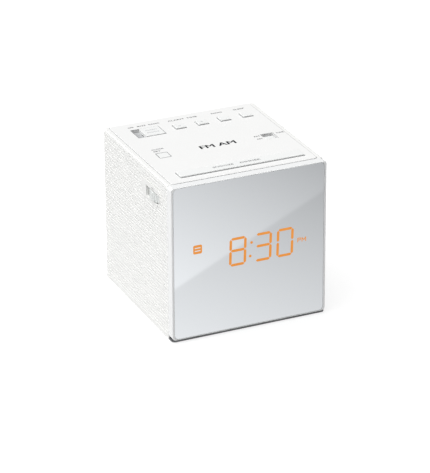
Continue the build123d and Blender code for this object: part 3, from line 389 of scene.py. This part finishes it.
def flat_frame(low, high, level, gap, width, radius):
    """A thin flat frame with round corners, standing a gap outside a box seen from above."""
    bpy.ops.object.select_all(action="DESELECT")
    middle = (low + high) / 2
    bpy.ops.mesh.primitive_plane_add(size=1.0, location=(middle.x, middle.y, level))
    ring = bpy.context.object
    outer = gap + width
    ring.scale = (high.x - low.x + 2 * outer, high.y - low.y + 2 * outer, 1.0)
    bpy.ops.object.transform_apply(location=True, rotation=True, scale=True)
    bpy.ops.object.mode_set(mode="EDIT")
    bpy.ops.mesh.select_all(action="SELECT")
    bpy.ops.mesh.bevel(offset=radius, segments=5, affect="VERTICES")
    bpy.ops.mesh.select_all(action="SELECT")
    bpy.ops.mesh.inset(thickness=width, depth=0.0)
    bpy.ops.mesh.delete(type="FACE")
    bpy.ops.mesh.select_all(action="SELECT")
    bpy.ops.mesh.extrude_region_move(TRANSFORM_OT_translate={"value": (0.0, 0.0, INK_DEPTH)})
    bpy.ops.object.mode_set(mode="OBJECT")
    settle(ring)
    return ring


def joined(pieces, name, material, body):
    """Joins printed words or thin lines into one named piece that rides on a body."""
    bpy.ops.object.select_all(action="DESELECT")
    for piece in pieces:
        piece.select_set(True)
    bpy.context.view_layer.objects.active = pieces[0]
    if len(pieces) > 1:
        bpy.ops.object.join()
    piece = bpy.context.object
    piece.name = name
    piece.data.name = name
    piece.data.materials.clear()
    piece.data.materials.append(material)
    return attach(piece, body)


# ---- sizes and colours that a user would change ----
def colour_setting(name, description, default):
    """A hex colour that a user can change."""
    return bpy.props.StringProperty(name=name, description=f"{description}, sRGB hex", default=default)


class CabinetSettings(bpy.types.PropertyGroup):
    white: colour_setting("White", "Cabinet colour", "f3f3f1")
    shade: colour_setting("Shade", "Cloudy places", "efefed")
    base: colour_setting("Base", "Base colour", "66676a")
    grain: bpy.props.FloatProperty(
        name="Grain", description="Mould grain in millimetres", default=0.3, min=0.05
    )


class FrontSettings(bpy.types.PropertyGroup):
    tint: colour_setting("Tint", "Silvering colour", "e4e7ea")
    glow: colour_setting("Glow", "Display colour", "f6a552")
    deep: colour_setting("Deep glow", "Dimmer display colour", "ec9440")
    strength: bpy.props.FloatProperty(
        name="Strength", description="Brightness of the display", default=0.9, min=0.0
    )
    waviness: bpy.props.FloatProperty(
        name="Waviness", description="Sheet waviness in millimetres", default=0.02, min=0.0
    )


class PrintSettings(bpy.types.PropertyGroup):
    pale: colour_setting("Pale ink", "Legend ink", "8b8c8f")
    faint: colour_setting("Faint ink", "Ink on the keys", "b9babc")
    dark: colour_setting("Dark ink", "Large mark's ink", "3f4144")
    letter: bpy.props.FloatProperty(
        name="Letter height", description="Cap height of the legends", default=1.5 * MM, unit="LENGTH"
    )


class StudioSettings(bpy.types.PropertyGroup):
    azimuth: bpy.props.FloatProperty(
        name="Azimuth",
        description="Camera angle to the left",
        default=math.radians(24.31),
        subtype="ANGLE",
    )
    elevation: bpy.props.FloatProperty(
        name="Elevation",
        description="Camera height angle",
        default=math.radians(24.60),
        subtype="ANGLE",
    )
    roll: bpy.props.FloatProperty(
        name="Roll", description="Camera roll", default=math.radians(-0.30), subtype="ANGLE"
    )
    distance: bpy.props.FloatProperty(
        name="Distance", description="Camera to the object's middle", default=1.6232, unit="LENGTH"
    )
    lens: bpy.props.FloatProperty(
        name="Lens", description="Focal length in millimetres", default=204.64, min=1.0
    )
    sky: bpy.props.FloatProperty(name="Sky", description="Brightness of the room", default=0.12, min=0.0)
    key: bpy.props.FloatProperty(
        name="Key light", description="Strength of the soft key", default=3.65, min=0.0
    )


# ---- the pieces ----
class CLOCKRADIO_OT_cabinet(bpy.types.Operator):
    """Finishes the shell, bezel, top panel, base, feet, gland and battery tray"""

    bl_idname = "clock_radio.cabinet"
    bl_label = "Cabinet"

    def execute(self, context):
        look = context.scene.radio_cabinet
        satin = moulded_plastic(
            "Satin moulded ABS, cabinet", look.white, look.shade, look.grain, 0.42, relief=0.003
        )
        gloss = moulded_plastic("Polished moulded ABS, bezel", "f7f8f8", "f4f5f5", 2.0, 0.12, 0.3, 0.006)
        panel = moulded_plastic("Satin moulded ABS, top panel", "f5f5f4", "f2f2f1", look.grain * 0.7, 0.34)
        # The base is dark grey. Its lip shows as the dark line along the front's bottom edge, and that line
        # stands partly for the shade under the object: painted shade.
        base = moulded_plastic("Dark moulded ABS and painted shade, base", look.base, "5c5d60", 0.5, 0.48, relief=0.03)
        rubber = moulded_plastic("Moulded rubber", "232324", "1d1d1e", 0.4, 0.75, relief=0.02)
        paint("cabinet_shell", satin)
        paint("front_bezel", gloss)
        paint("top_panel", panel)
        paint("bottom_cover", base)
        paint("battery_tray", base)
        paint("rubber_feet", rubber)
        paint("cord_gland", rubber)
        # A fine grey ring of painted shade lies in the seam round the top panel.
        seam = flat_frame(PANEL_LOW, PANEL_HIGH, SHELL_HIGH.z, 0.0, LINE_WIDTH, PANEL_CORNER)
        line = moulded_plastic("Painted shade, panel seam", "a3a4a6", "9b9c9e", 0.3, 0.6)
        joined([seam], "panel_seam_shade", line, "cabinet")
        return {"FINISHED"}


class CLOCKRADIO_OT_front(bpy.types.Operator):
    """Finishes the half-silvered panel and lights the display in it"""

    bl_idname = "clock_radio.front"
    bl_label = "Front and display"

    def execute(self, context):
        look = context.scene.radio_front
        paint("mirror_panel", half_silvered_acrylic("Half-silvered acrylic", look.tint, look.waviness))
        glow = glowing_film("Lit light-guide film", look.glow, look.deep, look.strength)
        unlit = moulded_plastic("Unlit light-guide film", "8a857f", "807b76", 1.0, 0.5)
        case = moulded_plastic("Dark moulded ABS, display case", "2a2a2c", "242426", 0.6, 0.5)
        paint("lit_segments", glow)
        paint("unlit_segments", unlit)
        paint("led_display_case", case)
        # The eye sees the lit bars in the silvered face, so a film there stands for them.
        only(NODES["lit_segments"])
        bpy.ops.object.duplicate()
        film = context.object
        film.parent = None
        film.name = "display_glow"
        film.data.name = "display_glow"
        low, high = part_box("lit_segments")
        bpy.ops.object.mode_set(mode="EDIT")
        bpy.ops.mesh.select_all(action="SELECT")
        bpy.ops.mesh.remove_doubles(threshold=MERGE_DISTANCE)
        bpy.ops.transform.resize(
            value=(1.0, 2 * INK_DEPTH / (high.y - low.y), 1.0), center_override=(0.0, high.y, 0.0)
        )
        bpy.ops.transform.translate(value=(0.0, MIRROR_LOW.y - high.y, 0.0))
        bpy.ops.object.mode_set(mode="OBJECT")
        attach(film, "cabinet")
        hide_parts("lit_segments")
        return {"FINISHED"}


class CLOCKRADIO_OT_controls(bpy.types.Operator):
    """Finishes the keys, slide knobs, guides and thumbwheels"""

    bl_idname = "clock_radio.controls"
    bl_label = "Controls"

    def execute(self, context):
        look = context.scene.radio_cabinet
        key = moulded_plastic("Satin moulded ABS, keys", "f4f5f4", "f1f2f1", look.grain * 0.7, 0.3)
        wheel = moulded_plastic("Satin moulded ABS, thumbwheels", "eceeed", "e6e9e7", look.grain, 0.38)
        guide = moulded_plastic("Grey moulded acetal, slide guides", "b9babb", "b1b2b3", 0.4, 0.4)
        for name in ("alarm_down", "alarm_up", "radio", "sleep", "clock"):
            paint(f"{name}_key", key)
        for name in ("snooze_bar", "alarm_mode_knob", "band_knob"):
            paint(name, key)
        for name in ("volume_wheel", "tuning_wheel"):
            paint(name, wheel)
        for name in ("alarm_mode_guide", "band_guide"):
            paint(name, guide)
        # A grey ring of painted shade lies in the gap round each raised key and round the alarm slide.
        seams = []
        for name in ("alarm_down_key", "alarm_up_key", "radio_key", "sleep_key", "snooze_bar"):
            low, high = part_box(name)
            seams.append(flat_frame(low, high, TOP, -FLANGE_TO_OPENING, KEY_LINE_WIDTH, KEY_CORNER))
        low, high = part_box("alarm_mode_knob")
        low.x -= ALARM_TRAVEL
        seams.append(flat_frame(low, high, TOP, KNOB_TO_OPENING, LINE_WIDTH, KEY_CORNER))
        line = moulded_plastic("Painted shade, key gaps", "8e8f92", "868789", 0.3, 0.6)
        joined(seams, "key_gap_shade", line, "cabinet")
        return {"FINISHED"}


class CLOCKRADIO_OT_insides(bpy.types.Operator):
    """Finishes the boards, switches, screws, loudspeaker, transformer and aerial"""

    bl_idname = "clock_radio.insides"
    bl_label = "Insides"

    def execute(self, context):
        black = moulded_plastic("Black moulded nylon", "1c1c1e", "161618", 0.5, 0.45)
        steel = metal("Zinc-plated steel", "b9bbbd", 0.3, 0.2)
        aluminium = metal("Drawn aluminium can", "c9cacc", 0.28, 0.15)
        resist = layered("Green solder resist over copper", "1f5f3b", "17482d", 1.27, "X", 0.35)
        laminations = layered("Varnished steel laminations", "505154", "2c2d2f", 0.5, "Y", 0.5, 0.7)
        copper = layered("Enamelled copper winding", "b8743c", "7a4522", 0.35, "X", 0.3, 0.9)
        tape = layered("Wound polyester tape", "caa541", "b8922f", 3.0, "Z", 0.35)
        ribbon = layered("Flat grey ribbon cable", "a9aaac", "8d8e90", 1.27, "X", 0.45)
        ferrite = moulded_plastic("Ground ferrite", "303032", "29292b", 0.8, 0.55)
        paper = layered("Pressed paper cone", "3b3937", "322f2d", 1.1, "Z", 0.85)
        finishes = {
            black: ["push_switches", "radio_chip", "volume_control", "tuning_capacitor", "aerial_cradles"]
            + [f"{name}_plunger" for name in ("snooze", "alarm_down", "alarm_up", "radio", "sleep", "clock")]
            + ["alarm_mode_lever", "band_lever"],
            steel: ["case_screws", "bezel_screws", "board_screws", "volume_wheel_screw", "tuning_wheel_screw"]
            + ["volume_shaft", "tuning_shaft", "alarm_mode_switch", "band_switch", "speaker_frame"]
            + ["coin_cell", "battery_contacts"],
            aluminium: ["filter_capacitors", "tuning_coils"],
            resist: ["key_board", "main_board", "display_board"],
            laminations: ["transformer_core"],
            copper: ["aerial_coil"],
            tape: ["transformer_winding"],
            ribbon: ["display_ribbon"],
            ferrite: ["ferrite_rod", "speaker_magnet"],
            paper: ["speaker_cone"],
        }
        for material, names in finishes.items():
            for name in names:
                paint(name, material)
        return {"FINISHED"}


class CLOCKRADIO_OT_printing(bpy.types.Operator):
    """Prints the plain legends on the top, on the keys and over the volume wheel"""

    bl_idname = "clock_radio.printing"
    bl_label = "Printing"

    def execute(self, context):
        look = context.scene.radio_print
        pale = moulded_plastic("Pale screen-printing ink", look.pale, "828386", 0.2, 0.5)
        faint = moulded_plastic("Faint pad-printing ink", look.faint, "b1b2b4", 0.2, 0.5)
        dark = moulded_plastic("Dark screen-printing ink", look.dark, "393b3e", 0.2, 0.35)
        on_panel = TOP + INK_DEPTH / 2
        legends = [word_on_top(*word, look.letter, on_panel) for word in TOP_WORDS]
        joined(legends, "top_legends", pale, "cabinet")
        mark = word_on_top(*MARK_WORD, MARK_HEIGHT, on_panel, MARK_BOLD)
        joined([mark], "band_mark", dark, "cabinet")
        key_low, key_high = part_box("clock_key")
        outline = flat_frame(key_low, key_high, TOP, -FLANGE_TO_OUTLINE, LINE_WIDTH, OUTLINE_CORNER)
        joined([outline], "clock_outline", pale, "cabinet")

        bar_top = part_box("snooze_bar")[1].z + INK_DEPTH / 2
        on_bar = [word_on_top(*word, look.letter * SNOOZE_SHARE, bar_top) for word in SNOOZE_WORDS]
        joined(on_bar, "snooze_legend", faint, "snooze")
        for name, sign in (("alarm_down", "-"), ("alarm_up", "+")):
            low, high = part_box(f"{name}_key")
            centre = Vector(((low.x + high.x) / 2, (low.y + high.y) / 2, high.z + INK_DEPTH / 2))
            legend = printed_word(sign, centre, SIGN_WIDTH, MINUS_HEIGHT if sign == "-" else SIGN_WIDTH)
            joined([legend], f"{name}_legend", faint, name)
        low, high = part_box("alarm_mode_knob")
        lines = []
        level = high.z + INK_DEPTH / 2
        for words, share in KNOB_WORDS:
            place = Vector(((low.x + high.x) / 2, low.y + share * (high.y - low.y), level))
            lines.append(printed_word(words, place, KNOB_WORD_WIDTH, look.letter * KNOB_SHARE))
        joined(lines, "alarm_mode_legend", faint, "alarm_mode")

        wheel_low, wheel_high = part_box("volume_wheel")
        middle = (wheel_low + wheel_high) / 2
        place = Vector((SHELL_LOW.x - INK_DEPTH / 2, middle.y, wheel_high.z + VOLUME_WORD_RISE))
        facing_left = (math.pi / 2, 0.0, -math.pi / 2)
        volume = printed_word("VOL", place, VOLUME_WORD_WIDTH, VOLUME_WORD_HEIGHT, turn=facing_left)
        joined([volume], "volume_legend", pale, "cabinet")
        return {"FINISHED"}


class CLOCKRADIO_OT_studio(bpy.types.Operator):
    """Sets up the pale floor, the soft light, the reflector card and the camera"""

    bl_idname = "clock_radio.studio"
    bl_label = "Studio"

    def execute(self, context):
        look = context.scene.radio_studio
        self.floor()
        self.card(look)
        self.lights(look)
        self.camera(look)
        context.scene.view_settings.view_transform = "Standard"
        return {"FINISHED"}

    def floor(self):
        """A wide pale sweep that glows a little from within, as a light table does."""
        bpy.ops.object.select_all(action="DESELECT")
        bpy.ops.mesh.primitive_plane_add(size=16.0, location=(0.0, 0.0, 0.0))
        floor = bpy.context.object
        floor.name = "studio_floor"
        material, tree, place = start_material("Pale sweep")
        mottle = add_node(tree, "ShaderNodeTexNoise", {"Vector": place, "Scale": 3.0})
        colours = add_node(
            tree,
            "ShaderNodeMix",
            {"Factor": mottle.outputs["Fac"], "A": linear("939393"), "B": linear("959595")},
            data_type="RGBA",
        )
        # Seen directly it stays clean white; what it throws back on the object is softer.
        thrown_back = 0.5
        more_when_seen = 0.28
        seen = add_node(tree, "ShaderNodeLightPath").outputs["Is Camera Ray"]
        glow = add_node(
            tree, "ShaderNodeMath", {0: seen, 1: more_when_seen, 2: thrown_back}, operation="MULTIPLY_ADD"
        )
        shader = add_node(
            tree,
            "ShaderNodeBsdfPrincipled",
            {
                "Base Color": colours.outputs["Result"],
                "Roughness": 0.9,
                "Specular IOR Level": 0.0,
                "Emission Color": (1.0, 1.0, 1.0, 1.0),
                "Emission Strength": glow.outputs["Value"],
            },
        )
        floor.data.materials.append(end_material(material, tree, shader.outputs["BSDF"], linear("fcfcfc")))

    def card(self, look):
        """A two-tone reflector card in front of the object, which only mirrors see. Its two soft
        tones meet along one slanting edge, as a window's edge would."""
        bpy.ops.object.select_all(action="DESELECT")
        bpy.ops.mesh.primitive_plane_add(size=2.0, location=(0.0, 0.0, 0.0))
        card = bpy.context.object
        card.name = "reflector_card"
        half_width = 0.8
        half_depth = 0.5
        to_the_right = 0.12
        card.scale = (half_width, half_depth, 1.0)
        card.location = (to_the_right, FRONT - half_depth - 1 * MM, 0.4 * MM)
        settle(card)
        card.visible_camera = False
        card.visible_diffuse = False
        card.visible_shadow = False
        card.visible_transmission = False
        # The panel's point x, z mirrors the card's point X = x + aside * z, Y = front - ahead * z
        # to someone who stands at the studio's azimuth and elevation.
        aside = math.sin(look.azimuth) / math.tan(look.elevation)
        ahead = math.cos(look.azimuth) / math.tan(look.elevation)
        material, tree, place = start_material("Reflector card")

        def over_panel(per_x, per_z, constant):
            """A value that changes evenly over the panel's reflection, as x and z rise."""
            slope = (per_x, (per_x * aside - per_z) / ahead, 0.0)
            dot = add_node(tree, "ShaderNodeVectorMath", {0: place, 1: slope}, operation="DOT_PRODUCT")
            start = constant - FRONT * (per_x * aside - per_z) / ahead
            total = add_node(
                tree, "ShaderNodeMath", {0: dot.outputs["Value"], 1: start}, operation="ADD", use_clamp=True
            )
            return total.outputs["Value"]

        # Each tone falls off to the right and upwards. Between them, the line z = height + slope * x
        # on the panel is softened over one metre divided by its sharpness.
        bright_corner = over_panel(-1.95, -2.86, 0.864)
        dim_corner = over_panel(-1.4, -2.6, 0.75)
        sharpness = 400
        edge_slope = 0.456
        edge_height = 0.0560
        edge = over_panel(-edge_slope * sharpness, sharpness, 0.5 - edge_height * sharpness)
        tone = add_node(
            tree, "ShaderNodeMix", {"Factor": edge, "A": dim_corner, "B": bright_corner}, data_type="FLOAT"
        )
        tint = add_node(
            tree,
            "ShaderNodeCombineColor",
            {"Red": tone.outputs["Result"], "Green": tone.outputs["Result"], "Blue": tone.outputs["Result"]},
        )
        glow = add_node(tree, "ShaderNodeEmission", {"Color": tint.outputs["Color"], "Strength": 1.25})
        card.data.materials.append(end_material(material, tree, glow.outputs["Emission"], linear("d8dade")))

    def lights(self, look):
        """Even light from all round, and a very soft key from above and a little to the left."""
        world = bpy.data.worlds.new("Studio")
        world.use_nodes = True
        background = world.node_tree.nodes["Background"]
        background.inputs["Color"].default_value = linear("fbfcff")
        background.inputs["Strength"].default_value = look.sky
        bpy.context.scene.world = world
        bpy.ops.object.light_add(type="SUN", location=(-0.4, 0.2, 1.2))
        key = bpy.context.object
        key.name = "soft_key"
        key.data.energy = look.key
        key.data.angle = math.radians(75)
        towards = Vector((-0.41, 0.10, 0.905))
        key.rotation_euler = towards.to_track_quat("Z", "Y").to_euler()

    def camera(self, look):
        """A long lens, turned to the left and looking down."""
        across, upward = -look.azimuth, look.elevation
        back = Vector(
            (math.sin(across) * math.cos(upward), -math.cos(across) * math.cos(upward), math.sin(upward))
        )
        right = Vector((math.cos(across), math.sin(across), 0.0))
        up = back.cross(right)
        right_rolled = right * math.cos(look.roll) + up * math.sin(look.roll)
        up_rolled = up * math.cos(look.roll) - right * math.sin(look.roll)
        middle = Vector((0.0, 0.0, SHELL_LOW.z + AIM_HEIGHT))
        place = middle + back * look.distance + right_rolled * AIM_RIGHT - up_rolled * AIM_DOWN
        bpy.ops.object.camera_add()
        camera = bpy.context.object
        camera.name = "studio_camera"
        turn = Matrix((right_rolled, up_rolled, back)).transposed()
        camera.matrix_world = Matrix.Translation(place) @ turn.to_4x4()
        camera.data.lens = look.lens
        camera.data.sensor_width = 36.0
        camera.data.clip_end = 50.0
        camera.data.dof.use_dof = False
        bpy.context.scene.camera = camera


STEPS = (
    CLOCKRADIO_OT_studio,
    CLOCKRADIO_OT_cabinet,
    CLOCKRADIO_OT_front,
    CLOCKRADIO_OT_controls,
    CLOCKRADIO_OT_insides,
    CLOCKRADIO_OT_printing,
)
SETTINGS = {
    "radio_cabinet": CabinetSettings,
    "radio_front": FrontSettings,
    "radio_print": PrintSettings,
    "radio_studio": StudioSettings,
}


class CLOCKRADIO_PT_panel(bpy.types.Panel):
    """Lists the steps that build the finished clock radio"""

    bl_idname = "CLOCKRADIO_PT_panel"
    bl_label = "Clock radio"
    bl_space_type = "VIEW_3D"
    bl_region_type = "UI"
    bl_category = "Clock radio"

    def draw(self, context):
        for step in STEPS:
            self.layout.operator(step.bl_idname)
        for name, group in SETTINGS.items():
            box = self.layout.box()
            for field in group.__annotations__:
                box.prop(getattr(context.scene, name), field)


def register():
    for group in (*SETTINGS.values(), *STEPS, CLOCKRADIO_PT_panel):
        bpy.utils.register_class(group)
    for name, group in SETTINGS.items():
        setattr(bpy.types.Scene, name, bpy.props.PointerProperty(type=group))


def unregister():
    for name in SETTINGS:
        delattr(bpy.types.Scene, name)
    for group in (CLOCKRADIO_PT_panel, *reversed(STEPS), *SETTINGS.values()):
        bpy.utils.unregister_class(group)


def main():
    register()
    bpy.ops.clock_radio.studio()
    bpy.ops.clock_radio.cabinet()
    bpy.ops.clock_radio.front()
    bpy.ops.clock_radio.controls()
    bpy.ops.clock_radio.insides()
    bpy.ops.clock_radio.printing()


if __name__ == "__main__":
    main()
